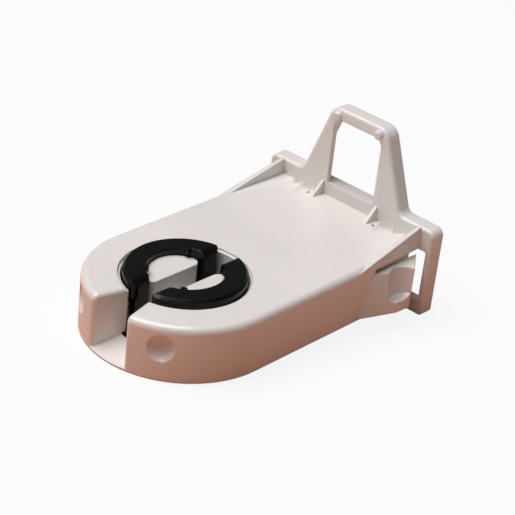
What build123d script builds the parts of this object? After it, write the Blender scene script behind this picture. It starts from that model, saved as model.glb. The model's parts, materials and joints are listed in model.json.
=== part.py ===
from build123d import *
import os
from math import cos, radians, sin

os.makedirs("parts", exist_ok=True)

# Rotary lamp holder for fluorescent tubes with two-pin caps, of the push-through kind.
# Millimetres. The holder lies on its back: Z points out of its front face, X runs from
# the lamp axis to the mounting foot, and the origin is where the lamp axis meets the back.

# Lamp cap that the holder takes
pin_spacing = 12.7
pin_diameter = 2.35
pin_length = 7.1
pin_tip_gap = 0.15

# Housing
body_width = 26.0
side_wall = 1.4
front_wall = 1.2
front_edge_round = 0.9

# Rotor: ring head, narrower skirt, and a base flange that the housing keeps down
head_lap = 0.425
head_rise = 0.85
head_depth = 2.55
head_bevel = 0.35
head_bore_bevel = 0.15
head_corner = 0.9
skirt_inset = 0.33
flange_lap = 0.4
flange_thickness = 0.5
notch_play = 0.4
notch_lead = 1.1
nub_radius = 0.45
nub_angle = 43.3

# Running gaps of the rotor
bore_gap = 0.08
rotor_gap = 0.2
base_gap = 0.15
floor_gap = 0.05

# Round hole and the collar that guides the rotor inside the housing
recess_step = 0.35
recess_depth = 0.35
collar_wall = 0.95

# Boss on the cover, between the pins
boss_play = 0.225
boss_drop = 0.6
boss_slot_play = 0.75
boss_corner = 0.8

# Entry slot through the rim
slot_inner_play = 1.2
slot_outer_play = 3.6
slot_wall = 1.2
slot_lip = 0.25
slot_edge_round = 0.6

# Finger dimples in the round end
dimple_radius = 1.85
dimple_depth = 0.95
dimple_height = 4.55
dimple_angle = 33.6

# Mounting foot
foot_face = 31.0
foot_depth = 2.2
foot_overhang = 1.75
foot_rise = 2.2
foot_drop = 2.95
foot_bar = 0.8
foot_top_corner = 1.1
foot_bottom_corner = 0.6
foot_edge_round = 0.45
sill_rise = 1.85
window_sill = 0.6
window_corner = 0.35
rail_depth = 1.1
core_half_width = 9.8
core_wall = 1.2
rear_wall = 3.2

# Loop above the foot
loop_top = 20.9
loop_bar = 1.62
loop_half_opening = 4.16
loop_top_half_width = 4.76
loop_foot_half_width = 8.9
loop_corner = 1.9
loop_root_round = 1.3
opening_top_corner = 1.2
opening_bottom_corner = 0.5
loop_plate = 0.78
loop_rim = 1.27
peg_radius = 0.65
peg_place = 3.6
peg_drop = 1.0
peg_rise = 0.6
peg_bevel = 0.2

# Ribs and gussets that stiffen the foot
rib_length = 2.1
rib_thickness = 0.5
rib_place = 4.8
gusset_length = 14.0
gusset_lead = 3.5
gusset_thickness = 0.92
body_taper = 0.35
shelf_thickness = 1.0

# Core marks in the front face before the foot, and the probe holes beside them
scoop_radius = 1.3
scoop_depth = 0.65
scoop_length = 3.1
scoop_place = 7.05
small_scoop_radius = 0.8
small_scoop_depth = 0.45
small_scoop_length = 1.2
small_scoop_place = 9.0
probe_radius = 0.25
probe_place = 5.9
probe_inset = 1.5

# Snap fingers beside the body, whose lengths run from the sheet that they hold forwards
sheet_gap = 0.4
finger_heel_length = 3.3
finger_tip_length = 2.5
finger_flare_length = 5.8
finger_bend_length = 2.6
finger_root_length = 3.0
finger_bottom = 0.25
finger_top = 6.05
finger_bottom_proud = 2.12
finger_top_proud = 1.2
finger_tip_proud = 2.25
finger_start_inset = 0.9
finger_root_inset = 0.7
finger_heel_inset = 0.25
thumb_radius = 2.25
thumb_back = 5.85
thumb_floor = 2.5
thumb_ledge = 0.7
thumb_top_reach = 2.65
thumb_floor_reach = 3.05

# Contacts: one bronze strip for each pin, with push-in leaves for the wires
strip_thickness = 0.35
strip_lift = 0.4
strip_headroom = 1.2
leaf_touch = 0.02
leaf_end_angle = 164.0
leaf_straight = 3.0
leaf_rise_end = 4.9
strip_side_inset = 2.1
strip_rear_inset = 3.55
strip_turn_start = 13.0
strip_turn_end = 16.5
strip_end_gap = 1.5
strip_bend_radius = 0.8
barb_length = 3.7
barb_spread = 1.85

# Guides for the strips inside the housing, and pads for them on the cover
guide_gap = 0.06
guide_wall = 0.8
side_guide_start = 9.6
side_guide_end = 12.0
rear_guide_start = 17.2
rear_guide_end = 19.1
partition_thickness = 1.0
pad_length = 2.2
pad_width = 1.4
side_pad_place = 7.2
rear_pad_place = 21.6
window_start = -1.0
window_end = 5.5
window_room = 0.6

# Wire inlets in the rear face, two for each pole
wire_hole_radius = 1.2
wire_funnel_lap = 0.5
wire_funnel_depth = 0.7
wire_spread = 1.95

# Cover plate that closes the back, and the snap lugs on its edges
cover_thickness = 1.2
cover_web = 0.75
cover_gap = 0.08
lug_length = 3.0
lug_proud = 0.35
lug_height = 0.6
lug_gap = 0.06
lug_places = (4.0, 15.0)

# Levels, radii and half widths that follow from the sizes above
pin_radius = pin_diameter / 2
pin_reach = pin_spacing / 2 + pin_radius
half_width = body_width / 2
flange_bottom = cover_web + floor_gap
track_floor = flange_bottom + flange_thickness
rotor_top = track_floor + pin_tip_gap + pin_length
body_height = rotor_top - head_rise
ceiling = body_height - front_wall
head_bottom = rotor_top - head_depth
collar_bottom = track_floor + base_gap
head_radius = pin_reach + head_lap
skirt_radius = pin_reach - skirt_inset
boss_radius = pin_spacing / 2 - pin_radius - boss_play
rotor_bore = boss_radius + bore_gap
hole_radius = head_radius + rotor_gap
recess_radius = hole_radius + recess_step
collar_radius = hole_radius + collar_wall
flange_radius = hole_radius + flange_lap
flange_pocket_radius = flange_radius + base_gap
notch_half_width = (pin_diameter + notch_play) / 2
boss_slot_half_width = (pin_diameter + boss_slot_play) / 2
cavity_half_width = half_width - side_wall
core_cavity_half_width = core_half_width - core_wall
foot_half_width = half_width + foot_overhang
gusset_start = foot_face - gusset_length
gusset_inner = half_width - gusset_thickness
finger_heel = foot_face - sheet_gap
finger_tip = finger_heel - finger_heel_length
finger_knee = finger_tip - finger_tip_length
finger_start = finger_knee - finger_flare_length
finger_bend = finger_start + finger_bend_length
finger_root = finger_start + finger_root_length
thumb_place = foot_face - thumb_back
wide_cavity_end = finger_root - side_wall
foot_back = foot_face + foot_depth
cavity_end = foot_back - rear_wall
foot_top = body_height + foot_rise
sill_top = body_height + sill_rise
opening_top = loop_top - loop_bar
shelf_underside = body_height - shelf_thickness
rear_half_width = half_width - body_taper
strip_bottom = cover_thickness + strip_lift
strip_top = ceiling - strip_headroom
strip_side_place = cavity_half_width - strip_side_inset
strip_rear_place = core_cavity_half_width - strip_rear_inset
strip_end = cavity_end - strip_end_gap
leaf_radius = pin_reach + leaf_touch + strip_thickness / 2
wire_height = (strip_bottom + strip_top) / 2
guide_slot = strip_thickness + 2 * guide_gap
past = 1.0


def slot_half_width(distance):
    """Half the width of the entry slot at a distance from the lamp axis."""
    share = (distance - hole_radius) / (half_width - hole_radius)
    play = slot_inner_play + share * (slot_outer_play - slot_inner_play)
    return (pin_diameter + play) / 2


def slot_floor(distance):
    """Height of the slot's sloping floor at a distance from the lamp axis."""
    share = (distance - hole_radius) / (half_width - hole_radius)
    return track_floor + share * (slot_lip - track_floor)


def slot_block(extra):
    """Plan corners of the solid walls beside the slot, from the collar to the rim."""
    near = slot_half_width(hole_radius) + slot_wall + extra
    far = slot_half_width(half_width) + slot_wall + extra
    return [(-half_width, -far), (-half_width, far), (-hole_radius, near), (-hole_radius, -near)]


def loop_half_width(height):
    """Half the width of the loop over its legs at a height."""
    share = (height - sill_top) / (loop_top - sill_top)
    return loop_foot_half_width + share * (loop_top_half_width - loop_foot_half_width)


def body_outline():
    """Plan of the body, drawn into the open sketch: round in front, tapered at the rear."""
    shoulder = gusset_start + gusset_lead
    Circle(half_width)
    Polygon(
        (0, -half_width),
        (shoulder, -half_width),
        (foot_face, -rear_half_width),
        (foot_face, rear_half_width),
        (shoulder, half_width),
        (0, half_width),
        align=None,
    )


def cavity_outline(inset):
    """Plan of the space inside the housing, drawn into the open sketch."""
    Circle(cavity_half_width - inset)
    for end, wide in ((wide_cavity_end, cavity_half_width), (cavity_end, core_cavity_half_width)):
        with Locations(((end - inset) / 2, 0)):
            Rectangle(end - inset, 2 * (wide - inset))


def lug_profile(side, extra):
    """Corners, across the body, of a snap lug on the cover's edge."""
    edge = cavity_half_width - cover_gap
    middle = cover_thickness / 2
    reach = edge + lug_proud + extra
    half_height = lug_height / 2 + extra
    return [(side * edge, middle - half_height), (side * edge, middle + half_height), (side * reach, middle)]


def finger_plan(side, bend_proud, knee_proud):
    """Plan corners of a snap finger, whose outer face flares out from the body's side."""
    return [
        (finger_start, side * (half_width - finger_start_inset)),
        (finger_start, side * half_width),
        (finger_bend, side * (half_width + bend_proud)),
        (finger_knee, side * (half_width + knee_proud)),
        (finger_tip, side * (half_width + finger_tip_proud)),
        (finger_heel, side * (half_width - finger_heel_inset)),
        (finger_root, side * (half_width - finger_root_inset)),
    ]


# Foot: a flange across the rear end, with two windows and a loop with angled legs
with BuildPart() as foot:
    with BuildSketch(Plane.YZ.offset(foot_face)) as foot_outline:
        with Locations((0, (foot_top - foot_drop) / 2)):
            Rectangle(2 * foot_half_width, foot_top + foot_drop)
        Polygon(
            (-loop_foot_half_width, sill_top),
            (loop_foot_half_width, sill_top),
            (loop_top_half_width, loop_top),
            (-loop_top_half_width, loop_top),
            align=None,
        )
        fillet(foot_outline.vertices().group_by(Axis.Y)[0], foot_bottom_corner)
        fillet(foot_outline.vertices().group_by(Axis.Y)[-1], loop_corner)
        arm_ends = foot_outline.vertices().filter_by(
            lambda corner: abs(corner.Y - foot_top) < foot_edge_round and abs(corner.X) > foot_half_width - foot_bar
        )
        fillet(arm_ends, foot_top_corner)
        leg_roots = foot_outline.vertices().filter_by(
            lambda corner: abs(corner.Y - foot_top) < foot_edge_round and abs(corner.X) < loop_foot_half_width
        )
        fillet(leg_roots, loop_root_round)
    extrude(amount=foot_depth)
    fillet(foot.faces().sort_by(Axis.X)[0].outer_wire().edges(), foot_edge_round)

    # Pegs on the loop's crossbar
    with BuildSketch(Plane.YZ.offset(foot_face)):
        with Locations(*[(side * peg_place, loop_top - peg_drop) for side in (1, -1)]):
            Circle(peg_radius)
    extrude(amount=-peg_rise)
    chamfer(foot.edges().group_by(Axis.X)[0], peg_bevel)

    # Opening of the loop
    with BuildSketch(Plane.YZ.offset(foot_face)) as opening:
        with Locations((0, (sill_top + opening_top) / 2)):
            Rectangle(2 * loop_half_opening, opening_top - sill_top)
        fillet(opening.vertices().group_by(Axis.Y)[-1], opening_top_corner)
        fillet(opening.vertices().group_by(Axis.Y)[0], opening_bottom_corner)
    extrude(amount=foot_depth, mode=Mode.SUBTRACT)

    # Hollow backs of the legs, which leave a plate in front and a rim outside
    pocket_inner = loop_half_opening - opening_bottom_corner
    pocket_top = opening_top - opening_top_corner / 2
    for side in (1, -1):
        with BuildSketch(Plane.YZ.offset(foot_face + loop_plate)):
            Polygon(
                (side * pocket_inner, sill_top),
                (side * (loop_half_width(sill_top) - loop_rim), sill_top),
                (side * (loop_half_width(pocket_top) - loop_rim), pocket_top),
                (side * pocket_inner, pocket_top),
                align=None,
            )
        extrude(amount=foot_depth, mode=Mode.SUBTRACT)

    # Windows behind the snap fingers, and the thinner rail under each
    window_outer = foot_half_width - foot_bar
    window_middle = (core_half_width + window_outer) / 2
    window_width = window_outer - core_half_width
    with BuildSketch(Plane.YZ.offset(foot_face)) as windows:
        with Locations(*[(side * window_middle, (shelf_underside - window_sill) / 2) for side in (1, -1)]):
            Rectangle(window_width, shelf_underside + window_sill)
        fillet(windows.vertices(), window_corner)
    extrude(amount=foot_depth, mode=Mode.SUBTRACT)
    with BuildSketch(Plane.YZ.offset(foot_face + rail_depth)):
        with Locations(*[(side * window_middle, -foot_drop / 2) for side in (1, -1)]):
            Rectangle(window_width, foot_drop)
    extrude(amount=foot_depth, mode=Mode.SUBTRACT)

# Gussets: ridges on both edges of the front face that rise to the foot
with BuildPart() as gussets:
    with BuildSketch(Plane.XY.offset(shelf_underside)):
        body_outline()
        with Locations((gusset_start - foot_face, 0)):
            Rectangle(2 * foot_face, 2 * body_width, mode=Mode.SUBTRACT)
        Rectangle(4 * foot_face, 2 * gusset_inner, mode=Mode.SUBTRACT)
    extrude(amount=foot_top - shelf_underside)
    with BuildSketch(Plane.XZ):
        Polygon(
            (gusset_start, shelf_underside),
            (gusset_start + gusset_lead, body_height),
            (foot_face, foot_top),
            (foot_face, shelf_underside),
            align=None,
        )
    extrude(amount=body_width, both=True, mode=Mode.INTERSECT)

# Snap fingers: wedges with a thumb scoop, fixed to the side walls at their front end
with BuildPart() as fingers:
    for side in (1, -1):
        flare = (finger_bend - finger_start) / (finger_knee - finger_start)
        with BuildSketch(Plane.XY.offset(finger_bottom)):
            Polygon(*finger_plan(side, flare * finger_bottom_proud, finger_bottom_proud), align=None)
        with BuildSketch(Plane.XY.offset(finger_top)):
            Polygon(*finger_plan(side, 0, finger_top_proud), align=None)
        loft(ruled=True)
    for side in (1, -1):
        thumb_seat = Plane(
            origin=(thumb_place, side * (half_width + thumb_floor_reach), thumb_floor),
            z_dir=(0, side * (thumb_top_reach - thumb_floor_reach), finger_top - thumb_floor),
        )
        with BuildSketch(thumb_seat):
            Circle(thumb_radius)
        extrude(amount=finger_top, mode=Mode.SUBTRACT)
        with Locations(thumb_seat.offset(-thumb_ledge / 2)):
            Cone(thumb_radius - thumb_ledge, thumb_radius, thumb_ledge, mode=Mode.SUBTRACT)

# Entry slot: a funnel in plan, whose floor slopes down to the rim
with BuildPart() as entry_slot:
    inner_end = hole_radius - past
    outer_end = half_width + past
    with BuildSketch():
        Polygon(
            (-inner_end, -slot_half_width(inner_end)),
            (-inner_end, slot_half_width(inner_end)),
            (-outer_end, slot_half_width(outer_end)),
            (-outer_end, -slot_half_width(outer_end)),
            align=None,
        )
    extrude(amount=body_height + past)
    with BuildSketch(Plane.XZ):
        Polygon(
            (-inner_end, slot_floor(inner_end)),
            (-outer_end, slot_floor(outer_end)),
            (-outer_end, body_height + past),
            (-inner_end, body_height + past),
            align=None,
        )
    extrude(amount=body_width, both=True, mode=Mode.INTERSECT)

# Housing: one moulding with the foot, gussets, snap fingers and inner walls
with BuildPart() as housing:
    with BuildSketch():
        body_outline()
    extrude(amount=body_height)
    front_rim = housing.edges().group_by(Axis.Z)[-1]
    fillet(front_rim.filter_by(lambda edge: edge.center().X < foot_face - past), front_edge_round)

    # Space inside, open at the back
    with BuildSketch():
        cavity_outline(0)
    extrude(amount=ceiling, mode=Mode.SUBTRACT)

    # Gaps behind the snap fingers, under the shelf that carries the gussets
    with BuildSketch():
        with Locations(*[
            ((finger_root + foot_face) / 2, side * (core_half_width + half_width) / 2) for side in (1, -1)
        ]):
            Rectangle(foot_face - finger_root, half_width - core_half_width)
    extrude(amount=shelf_underside, mode=Mode.SUBTRACT)

    # Scoops that deepen towards the foot, and the probe holes
    for place, radius, depth, length in (
        (scoop_place, scoop_radius, scoop_depth, scoop_length),
        (small_scoop_place, small_scoop_radius, small_scoop_depth, small_scoop_length),
    ):
        for side in (1, -1):
            start = (foot_face, side * place, body_height + radius - depth)
            with BuildSketch(Plane(origin=start, z_dir=(-length, 0, depth))):
                Circle(radius)
            extrude(amount=2 * length, both=True, mode=Mode.SUBTRACT)
    with BuildSketch(Plane.XY.offset(body_height)):
        with Locations(*[(foot_face - probe_inset, side * probe_place) for side in (1, -1)]):
            Circle(probe_radius)
    extrude(amount=-front_wall, mode=Mode.SUBTRACT)

    # Walls beside the entry slot, and the collar round the rotor
    with BuildSketch():
        Polygon(*slot_block(0), align=None)
        Circle(half_width - side_wall / 2, mode=Mode.INTERSECT)
    extrude(amount=ceiling)
    with BuildSketch(Plane.XY.offset(collar_bottom)):
        Circle(collar_radius)
    extrude(amount=ceiling - collar_bottom)

    # Entry slot, with its corners at the rim rounded
    add(entry_slot.part, mode=Mode.SUBTRACT)
    mouth = slot_half_width(half_width)
    rim_corners = housing.edges().filter_by(
        lambda edge: edge.center().X < past - half_width
        and abs(abs(edge.center().Y) - mouth) < slot_edge_round
        and abs(edge.tangent_at(0.5).Z) > cos(radians(30))
    )
    fillet(rim_corners, slot_edge_round)

    # Hole for the rotor's head, a shallow step round it, and room for its flange
    with BuildSketch():
        Circle(flange_pocket_radius)
    extrude(amount=collar_bottom, mode=Mode.SUBTRACT)
    with BuildSketch(Plane.XY.offset(collar_bottom)):
        Circle(hole_radius)
    extrude(amount=body_height, mode=Mode.SUBTRACT)
    with BuildSketch(Plane.XY.offset(body_height - recess_depth)):
        Circle(recess_radius)
    extrude(amount=body_height, mode=Mode.SUBTRACT)

    # Windows in the collar, where the contact leaves reach the pins
    with BuildSketch(Plane.XY.offset(collar_bottom)):
        with Locations(*[((window_start + window_end) / 2, side * hole_radius) for side in (1, -1)]):
            Rectangle(window_end - window_start, 2 * (collar_radius - skirt_radius))
    extrude(amount=strip_top + window_room - collar_bottom, mode=Mode.SUBTRACT)

    # Slotted guides for the contact strips, and the wall between the two poles
    for start, end, place in (
        (side_guide_start, side_guide_end, strip_side_place),
        (rear_guide_start, rear_guide_end, strip_rear_place),
    ):
        centres = [((start + end) / 2, side * place) for side in (1, -1)]
        with BuildSketch(Plane.XY.offset(cover_thickness)):
            with Locations(*centres):
                Rectangle(end - start, guide_slot + 2 * guide_wall)
        extrude(amount=ceiling - cover_thickness)
        with BuildSketch(Plane.XY.offset(cover_thickness)):
            with Locations(*centres):
                Rectangle(end - start, guide_slot)
        extrude(amount=strip_top + guide_gap - cover_thickness, mode=Mode.SUBTRACT)
    with BuildSketch(Plane.XY.offset(cover_thickness)):
        with Locations(((hole_radius + collar_radius) / 4 + cavity_end / 2, 0)):
            Rectangle(cavity_end - (hole_radius + collar_radius) / 2, partition_thickness)
    extrude(amount=ceiling - cover_thickness)

    # Foot, gussets, fingers and the ribs that stiffen the loop
    add(foot.part)
    add(gussets.part)
    add(fingers.part)
    for side in (1, -1):
        with BuildSketch(Plane.XZ.offset(side * rib_place)):
            Polygon(
                (foot_face - rib_length, body_height),
                (foot_face, foot_top - foot_edge_round / 2),
                (foot_face + foot_edge_round, foot_top - foot_edge_round / 2),
                (foot_face + foot_edge_round, body_height - past),
                (foot_face - rib_length, body_height - past),
                align=None,
            )
        extrude(amount=rib_thickness / 2, both=True)

    # Wire inlets, with square funnels that guide the wires in
    for place in [pole * strip_rear_place + side * wire_spread for pole in (1, -1) for side in (1, -1)]:
        with Locations(Plane(origin=(foot_back, place, wire_height), z_dir=(1, 0, 0))):
            Hole(wire_hole_radius, depth=rear_wall)
        for depth, lap in ((0, wire_funnel_lap), (wire_funnel_depth, 0)):
            with BuildSketch(Plane.YZ.offset(foot_back - depth)):
                with Locations((place, wire_height)):
                    Rectangle(2 * (wire_hole_radius + lap), 2 * (wire_hole_radius + lap))
        loft(mode=Mode.SUBTRACT)

    # Dimples for finger and thumb
    ball_radius = (dimple_radius**2 + dimple_depth**2) / (2 * dimple_depth)
    ball_place = half_width + ball_radius - dimple_depth
    with Locations(*[
        (-ball_place * cos(radians(dimple_angle)), side * ball_place * sin(radians(dimple_angle)), dimple_height)
        for side in (1, -1)
    ]):
        Sphere(ball_radius, mode=Mode.SUBTRACT)

    # Grooves for the cover's snap lugs
    for side in (1, -1):
        for place in lug_places:
            with BuildSketch(Plane.YZ.offset(place)):
                Polygon(*lug_profile(side, lug_gap), align=None)
            extrude(amount=lug_length / 2 + lug_gap, both=True, mode=Mode.SUBTRACT)

housing.part.label = "housing"
export_step(housing.part, "parts/housing.step")

# Back cover: the plate that closes the back, with the boss that centres the rotor
with BuildPart() as back_cover:
    with BuildSketch():
        cavity_outline(cover_gap)
        Polygon(*slot_block(cover_gap), align=None, mode=Mode.SUBTRACT)
        Circle(flange_pocket_radius - cover_gap)
    extrude(amount=cover_thickness)
    with BuildSketch(Plane.XY.offset(cover_web)):
        Circle(flange_pocket_radius)
    extrude(amount=cover_thickness, mode=Mode.SUBTRACT)

    # Boss in two halves, whose tops slope down to the slot for the pins
    with BuildSketch():
        Circle(boss_radius)
    extrude(amount=body_height)
    with BuildSketch(Plane.YZ):
        Polygon(
            (-boss_slot_half_width, body_height - boss_drop),
            (-boss_radius, body_height),
            (-boss_radius, body_height + past),
            (boss_radius, body_height + past),
            (boss_radius, body_height),
            (boss_slot_half_width, body_height - boss_drop),
            align=None,
        )
        with Locations((0, (track_floor + body_height) / 2)):
            Rectangle(2 * boss_slot_half_width, body_height - track_floor)
    extrude(amount=boss_radius + past, both=True, mode=Mode.SUBTRACT)
    slot_mouths = back_cover.edges().filter_by(Axis.Z).filter_by(
        lambda edge: abs(abs(edge.center().Y) - boss_slot_half_width) < boss_corner
        and edge.center().Z > cover_thickness
    )
    fillet(slot_mouths, boss_corner)

    # Pads under the contact strips, and snap lugs on the edges
    with BuildSketch(Plane.XY.offset(cover_thickness)):
        with Locations(*[
            (place, side * row)
            for place, row in ((side_pad_place, strip_side_place), (rear_pad_place, strip_rear_place))
            for side in (1, -1)
        ]):
            Rectangle(pad_length, pad_width)
    extrude(amount=strip_lift)
    for side in (1, -1):
        for place in lug_places:
            with BuildSketch(Plane.YZ.offset(place)):
                Polygon(*lug_profile(side, 0), align=None)
            extrude(amount=lug_length / 2, both=True)

back_cover.part.label = "back_cover"
export_step(back_cover.part, "parts/back_cover.step")

# Rotor head: two crescents with rounded ends, seen from the front
with BuildPart() as rotor_head:
    with BuildSketch(Plane.XZ):
        Polygon(
            (rotor_bore, head_bottom),
            (head_radius, head_bottom),
            (head_radius, rotor_top - head_bevel),
            (head_radius - head_bevel, rotor_top),
            (rotor_bore + head_bore_bevel, rotor_top),
            (rotor_bore, rotor_top - head_bore_bevel),
            align=None,
        )
    revolve(axis=Axis.Z)

    # Small nubs that reach in over the boss beside each notch
    with BuildSketch(Plane.XY.offset(body_height + rotor_gap)):
        with Locations(*[
            (
                rotor_bore * cos(radians(turn + side * nub_angle)),
                rotor_bore * sin(radians(turn + side * nub_angle)),
            )
            for turn in (0, 180)
            for side in (1, -1)
        ]):
            Circle(nub_radius)
    extrude(amount=head_rise - rotor_gap)
    with BuildSketch(Plane.XY.offset(head_bottom)) as crescents:
        Circle(head_radius)
        Rectangle(2 * flange_radius, 2 * notch_half_width, mode=Mode.SUBTRACT)
        fillet(crescents.vertices(), head_corner)
    extrude(amount=head_depth, mode=Mode.INTERSECT)

# Rotor: carries the two pins round with it, and hides the contacts at rest
with BuildPart() as rotor:
    with BuildSketch(Plane.XZ):
        Polygon(
            (rotor_bore, flange_bottom),
            (flange_radius, flange_bottom),
            (flange_radius, track_floor),
            (skirt_radius, track_floor),
            (skirt_radius, head_bottom),
            (rotor_bore, head_bottom),
            align=None,
        )
    revolve(axis=Axis.Z)
    add(rotor_head.part)

    # Notches for the pins, which open in a curve at the front
    wide = notch_half_width + notch_lead
    with BuildSketch(Plane.YZ):
        with BuildLine():
            Polyline(
                (-notch_half_width, rotor_top - notch_lead),
                (-notch_half_width, track_floor),
                (notch_half_width, track_floor),
                (notch_half_width, rotor_top - notch_lead),
            )
            RadiusArc((notch_half_width, rotor_top - notch_lead), (wide, rotor_top), notch_lead)
            Polyline((wide, rotor_top), (wide, rotor_top + past), (-wide, rotor_top + past), (-wide, rotor_top))
            RadiusArc((-wide, rotor_top), (-notch_half_width, rotor_top - notch_lead), notch_lead)
        make_face()
    extrude(amount=flange_radius + past, both=True, mode=Mode.SUBTRACT)

rotor.part.label = "rotor"
export_step(rotor.part, "parts/rotor.step")

# Contacts: each strip curls round the rotor at one end and grips two wires at the other
for name, side in (("contact_left", 1), ("contact_right", -1)):
    with BuildPart() as contact:
        with BuildSketch(Plane.XY.offset(strip_bottom)):
            with BuildLine():
                CenterArc((0, 0), leaf_radius, side * 90, side * (leaf_end_angle - 90))
                FilletPolyline(
                    (0, side * leaf_radius),
                    (leaf_straight, side * leaf_radius),
                    (leaf_rise_end, side * strip_side_place),
                    (strip_turn_start, side * strip_side_place),
                    (strip_turn_end, side * strip_rear_place),
                    (strip_end, side * strip_rear_place),
                    radius=strip_bend_radius,
                )
            trace(line_width=strip_thickness)
            for spread in (barb_spread, -barb_spread):
                with BuildLine():
                    Line(
                        (strip_end - strip_thickness, side * strip_rear_place),
                        (strip_end - strip_thickness - barb_length, side * strip_rear_place + spread),
                    )
                trace(line_width=strip_thickness)
        extrude(amount=strip_top - strip_bottom)
    contact.part.label = name
    export_step(contact.part, f"parts/{name}.step")
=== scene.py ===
import bmesh
import bpy
import json
import math
from mathutils import Matrix, Vector


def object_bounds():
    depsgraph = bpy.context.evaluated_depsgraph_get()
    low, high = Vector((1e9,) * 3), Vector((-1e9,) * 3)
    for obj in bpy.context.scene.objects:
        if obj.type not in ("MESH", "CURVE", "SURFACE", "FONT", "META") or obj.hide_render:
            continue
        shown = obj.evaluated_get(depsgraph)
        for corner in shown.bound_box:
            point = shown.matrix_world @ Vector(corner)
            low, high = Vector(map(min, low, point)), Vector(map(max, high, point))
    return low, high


# Fluorescent tube lamp holder: white moulded housing and cover, black rotor, bronze contacts.
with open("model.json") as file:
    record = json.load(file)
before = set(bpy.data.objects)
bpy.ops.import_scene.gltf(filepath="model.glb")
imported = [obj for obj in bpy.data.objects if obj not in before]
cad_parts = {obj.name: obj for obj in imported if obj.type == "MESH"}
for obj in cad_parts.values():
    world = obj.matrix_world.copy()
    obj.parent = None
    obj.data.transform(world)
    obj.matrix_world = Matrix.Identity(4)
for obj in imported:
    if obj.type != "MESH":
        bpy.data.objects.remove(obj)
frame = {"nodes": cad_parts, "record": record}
cad_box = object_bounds()

MM = 0.001
EDGE_SAMPLES = 8


# Node helpers for the materials

def new_material(name):
    """A new node material with its Principled shader, as (material, nodes, links, shader)."""
    material = bpy.data.materials.new(name)
    material.use_nodes = True
    nodes = material.node_tree.nodes
    return material, nodes, material.node_tree.links, nodes["Principled BSDF"]


def set_inputs(node, values):
    """Plain values for the named inputs of a node."""
    for name, value in values.items():
        node.inputs[name].default_value = value


def object_place(nodes, links, mapping_values):
    """The object's own coordinates through a mapping."""
    place = nodes.new("ShaderNodeTexCoord")
    mapping = nodes.new("ShaderNodeMapping")
    set_inputs(mapping, mapping_values)
    links.new(place.outputs["Object"], mapping.inputs["Vector"])
    return mapping.outputs["Vector"]


def object_noise(nodes, links, scale, detail, stretch=(1, 1, 1)):
    """A noise factor in the object's own coordinates, with its size in metres as 1 / scale."""
    place = object_place(nodes, links, {"Scale": stretch})
    noise = nodes.new("ShaderNodeTexNoise")
    set_inputs(noise, {"Scale": scale, "Detail": detail})
    links.new(place, noise.inputs["Vector"])
    return noise.outputs["Fac"]


def ramp(nodes, links, source, low, high, start=0.35, end=0.65):
    """A colour that runs from low to high as a factor runs from start to end."""
    band = nodes.new("ShaderNodeValToRGB")
    stops = band.color_ramp.elements
    for stop, position, colour in ((stops[0], start, low), (stops[1], end, high)):
        stop.position = position
        stop.color = (*colour, 1)
    links.new(source, band.inputs["Fac"])
    return band.outputs["Color"]


def spread(nodes, links, source, low, high):
    """A number that runs from low to high as a factor runs from 0 to 1."""
    map_range = nodes.new("ShaderNodeMapRange")
    set_inputs(map_range, {"To Min": low, "To Max": high})
    links.new(source, map_range.inputs["Value"])
    return map_range.outputs["Result"]


def bump(nodes, links, shader, source, strength, depth, edge_round):
    """Fine relief from a factor, over edges softened by a small radius, both in metres."""
    softened = nodes.new("ShaderNodeBevel")
    softened.samples = EDGE_SAMPLES
    softened.inputs["Radius"].default_value = edge_round
    relief = nodes.new("ShaderNodeBump")
    links.new(softened.outputs["Normal"], relief.inputs["Normal"])
    set_inputs(relief, {"Strength": strength, "Distance": depth})
    links.new(source, relief.inputs["Height"])
    links.new(relief.outputs["Normal"], shader.inputs["Normal"])


def away_from(nodes, links, middle_x, squash, near, far):
    """A factor that runs smoothly from 0 near a point on the X axis to 1 far from it.
    Distances along X count for less, by the factor squash, and heights not at all."""
    place = object_place(nodes, links, {
        "Scale": (squash, 1, 0),
        "Location": (-squash * middle_x, 0, 0),
    })
    reach = nodes.new("ShaderNodeVectorMath")
    reach.operation = "LENGTH"
    map_range = nodes.new("ShaderNodeMapRange")
    map_range.interpolation_type = "SMOOTHSTEP"
    set_inputs(map_range, {"From Min": near, "From Max": far})
    links.new(place, reach.inputs[0])
    links.new(reach.outputs["Value"], map_range.inputs["Value"])
    return map_range.outputs["Result"]


def maths(nodes, links, operation, first, second):
    """A maths node on an output and on either another output or a plain number."""
    node = nodes.new("ShaderNodeMath")
    node.operation = operation
    links.new(first, node.inputs[0])
    if isinstance(second, float):
        node.inputs[1].default_value = second
    else:
        links.new(second, node.inputs[1])
    return node.outputs["Value"]


def show_white(nodes, links, plain, white, surface, share, glossy_share):
    """A surface that lights the object as plain does, and looks white to the rays that see
    it: camera and transmission rays, and a part of the glossy ones, because the rotor's
    gloss stays dark in the photo."""
    rays = nodes.new("ShaderNodeLightPath").outputs
    clear = maths(nodes, links, "MAXIMUM", rays["Is Camera Ray"], rays["Is Transmission Ray"])
    shine = maths(nodes, links, "MULTIPLY", rays["Is Glossy Ray"], glossy_share)
    either = maths(nodes, links, "MAXIMUM", clear, shine)
    blend = nodes.new("ShaderNodeMixShader")
    links.new(maths(nodes, links, "MULTIPLY", either, share), blend.inputs["Fac"])
    links.new(plain, blend.inputs[1])
    links.new(white, blend.inputs[2])
    links.new(blend.outputs["Shader"], surface)


# Finishes

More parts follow.
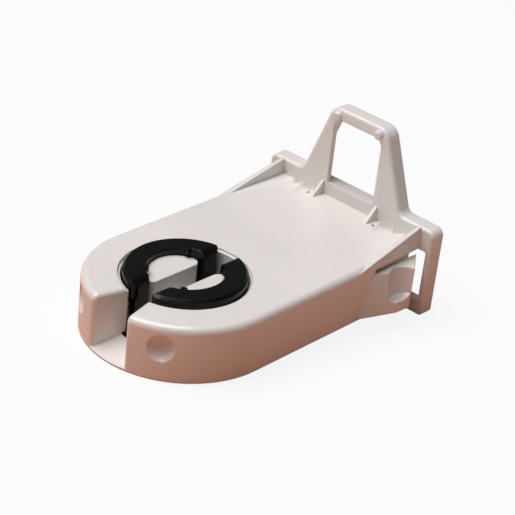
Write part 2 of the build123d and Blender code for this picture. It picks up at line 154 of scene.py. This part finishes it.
def white_plastic():
    """Glossy white moulding with faint flow clouds and a trace of mould texture."""
    material, nodes, links, shader = new_material("white_moulded_plastic")
    clouds = object_noise(nodes, links, 90, 3, (1, 0.6, 1))
    colour = ramp(nodes, links, clouds, (0.755, 0.738, 0.695), (0.795, 0.778, 0.735))
    links.new(colour, shader.inputs["Base Color"])
    grain = object_noise(nodes, links, 1300, 1)
    links.new(spread(nodes, links, grain, 0.3, 0.4), shader.inputs["Roughness"])
    bump(nodes, links, shader, grain, 0.02, 0.02 * MM, 0.3 * MM)
    set_inputs(shader, {
        "IOR": 1.49,
        "Coat Weight": 0.5,
        "Coat Roughness": 0.1,
        "Subsurface Weight": 0.15,
        "Subsurface Radius": (1.6 * MM, 0.9 * MM, 0.5 * MM),
    })
    return material


def black_plastic():
    """Black moulding with a soft gloss and slight unevenness."""
    material, nodes, links, shader = new_material("black_moulded_plastic")
    clouds = object_noise(nodes, links, 260, 4)
    colour = ramp(nodes, links, clouds, (0.001, 0.002, 0.0017), (0.003, 0.0045, 0.004))
    links.new(colour, shader.inputs["Base Color"])
    grain = object_noise(nodes, links, 1500, 2)
    links.new(spread(nodes, links, grain, 0.31, 0.42), shader.inputs["Roughness"])
    bump(nodes, links, shader, grain, 0.08, 0.03 * MM, 0.15 * MM)
    set_inputs(shader, {
        "IOR": 1.4,
        "Specular IOR Level": 0.2,
        "Coat Weight": 0.3,
        "Coat Roughness": 0.1,
    })
    return material


def spring_bronze():
    """Rolled bronze strip, with fine drawn lines and warm stains."""
    material, nodes, links, shader = new_material("rolled_spring_bronze")
    stains = object_noise(nodes, links, 300, 4)
    colour = ramp(nodes, links, stains, (0.7, 0.36, 0.16), (0.85, 0.48, 0.24))
    links.new(colour, shader.inputs["Base Color"])
    lines = object_noise(nodes, links, 900, 3, (0.05, 0.05, 1))
    links.new(spread(nodes, links, lines, 0.22, 0.42), shader.inputs["Roughness"])
    bump(nodes, links, shader, lines, 0.15, 0.01 * MM, 0.03 * MM)
    shader.inputs["Metallic"].default_value = 1.0
    return material


finishes = {
    "white_plastic": white_plastic(),
    "black_plastic": black_plastic(),
    "contact_bronze": spring_bronze(),
}
for subpart in frame["record"]["subparts"]:
    node = frame["nodes"][subpart["node"]]
    node.data.materials.clear()
    node.data.materials.append(finishes[subpart["material_slot"]])


# Camera at the photo's angle, from the calibration of the photo

LENS = 118.55
SENSOR_WIDTH = 36
CLIP_START = 0.01
CLIP_END = 10
CAMERA_PLACE = Vector((-133.42, -125.47, 113.83)) * MM
CAMERA_RIGHT = Vector((0.6875, -0.7195, 0.0983))
CAMERA_UP = Vector((0.2963, 0.4015, 0.8666))
CAMERA_BACK = Vector((-0.663, -0.5667, 0.4892))

camera_data = bpy.data.cameras.new("camera")
camera_data.lens = LENS
camera_data.sensor_width = SENSOR_WIDTH
camera_data.clip_start = CLIP_START
camera_data.clip_end = CLIP_END
camera = bpy.data.objects.new("camera", camera_data)
bpy.context.scene.collection.objects.link(camera)
turn = Matrix((CAMERA_RIGHT, CAMERA_UP, CAMERA_BACK)).transposed()
camera.matrix_world = Matrix.Translation(CAMERA_PLACE) @ turn.to_4x4()
bpy.context.scene.camera = camera


# Floor, tilted a little so that both the foot's lower rail and the round end stand on it

FLOOR_SIZE = 1.5
FOOT_RAIL_X = 31 * MM
nose_x = cad_box[0][0]
foot_low = cad_box[0][2]
floor_slope = math.atan2(-foot_low, FOOT_RAIL_X - nose_x)

floor_mesh = bpy.data.meshes.new("floor")
shape = bmesh.new()
bmesh.ops.create_grid(shape, x_segments=1, y_segments=1, size=FLOOR_SIZE)
slope = Matrix.Rotation(floor_slope, 3, "Y")
bmesh.ops.rotate(shape, verts=shape.verts, cent=(0, 0, 0), matrix=slope)
bmesh.ops.translate(shape, verts=shape.verts, vec=(nose_x, 0, 0))
shape.to_mesh(floor_mesh)
shape.free()
floor = bpy.data.objects.new("floor", floor_mesh)
bpy.context.scene.collection.objects.link(floor)


# The floor is pale to the camera. Round the holder it throws warm light onto the sides, which
# are warm in the photo, and farther out it is pale to all rays.

WARM_TINT = (0.57, 0.17, 0.045)
PALE_TINT = (0.78, 0.77, 0.74)
WARM_MIDDLE_X = 10 * MM
WARM_REACH = 30 * MM
PALE_FROM = 70 * MM
WARM_SQUASH = 0.67
FLOOR_WHITE_SHARE = 0.88
FLOOR_GLOSSY_SHARE = 0.3

# Socket numbers of the Mix node when it mixes colours
MIX_FACTOR = 0
MIX_FIRST = 6
MIX_SECOND = 7
MIX_RESULT = 2

material, nodes, links, shader = new_material("pale_floor")
beyond = away_from(nodes, links, WARM_MIDDLE_X, WARM_SQUASH, WARM_REACH, PALE_FROM)
eye = nodes.new("ShaderNodeLightPath")
tint = nodes.new("ShaderNodeMix")
tint.data_type = "RGBA"
links.new(eye.outputs["Is Camera Ray"], tint.inputs[MIX_FACTOR])
links.new(ramp(nodes, links, beyond, WARM_TINT, PALE_TINT, 0, 1), tint.inputs[MIX_FIRST])
tint.inputs[MIX_SECOND].default_value = (*PALE_TINT, 1)
links.new(tint.outputs[MIX_RESULT], shader.inputs["Base Color"])
set_inputs(shader, {"Roughness": 0.9, "Specular IOR Level": 0.0})
glow = nodes.new("ShaderNodeEmission")
glow.inputs["Strength"].default_value = 1.0
show_white(
    nodes, links, shader.outputs["BSDF"], glow.outputs["Emission"],
    nodes["Material Output"].inputs["Surface"], FLOOR_WHITE_SHARE, FLOOR_GLOSSY_SHARE,
)
floor.data.materials.append(material)


# Light: a dim pale room, and one large soft lamp high up, a little to the nose and far side

ROOM_TINT = (0.95, 1, 0.96, 1)
ROOM_STRENGTH = 0.085
ROOM_WHITE_SHARE = 1.0
ROOM_GLOSSY_SHARE = 0.02
LAMP_PLACE = Vector((-0.18, 0.2, 0.8))
LAMP_TARGET = Vector((0.012, 0, 0.005))
LAMP_SIZE = 0.7
LAMP_POWER = 8.85
LAMP_TINT = (1, 0.945, 0.975)

world = bpy.data.worlds.new("room")
bpy.context.scene.world = world
world.use_nodes = True
nodes = world.node_tree.nodes
links = world.node_tree.links
room = nodes["Background"]
set_inputs(room, {"Color": ROOM_TINT, "Strength": ROOM_STRENGTH})
white = nodes.new("ShaderNodeBackground")
white.inputs["Color"].default_value = (1, 1, 1, 1)
show_white(
    nodes, links, room.outputs["Background"], white.outputs["Background"],
    nodes["World Output"].inputs["Surface"], ROOM_WHITE_SHARE, ROOM_GLOSSY_SHARE,
)

lamp_data = bpy.data.lights.new("overhead", "AREA")
lamp_data.size = LAMP_SIZE
lamp_data.energy = LAMP_POWER
lamp_data.color = LAMP_TINT
lamp = bpy.data.objects.new("overhead", lamp_data)
bpy.context.scene.collection.objects.link(lamp)
lamp.location = LAMP_PLACE
lamp.rotation_euler = (LAMP_TARGET - LAMP_PLACE).to_track_quat("-Z", "Y").to_euler()

bpy.context.scene.view_settings.view_transform = "Standard"
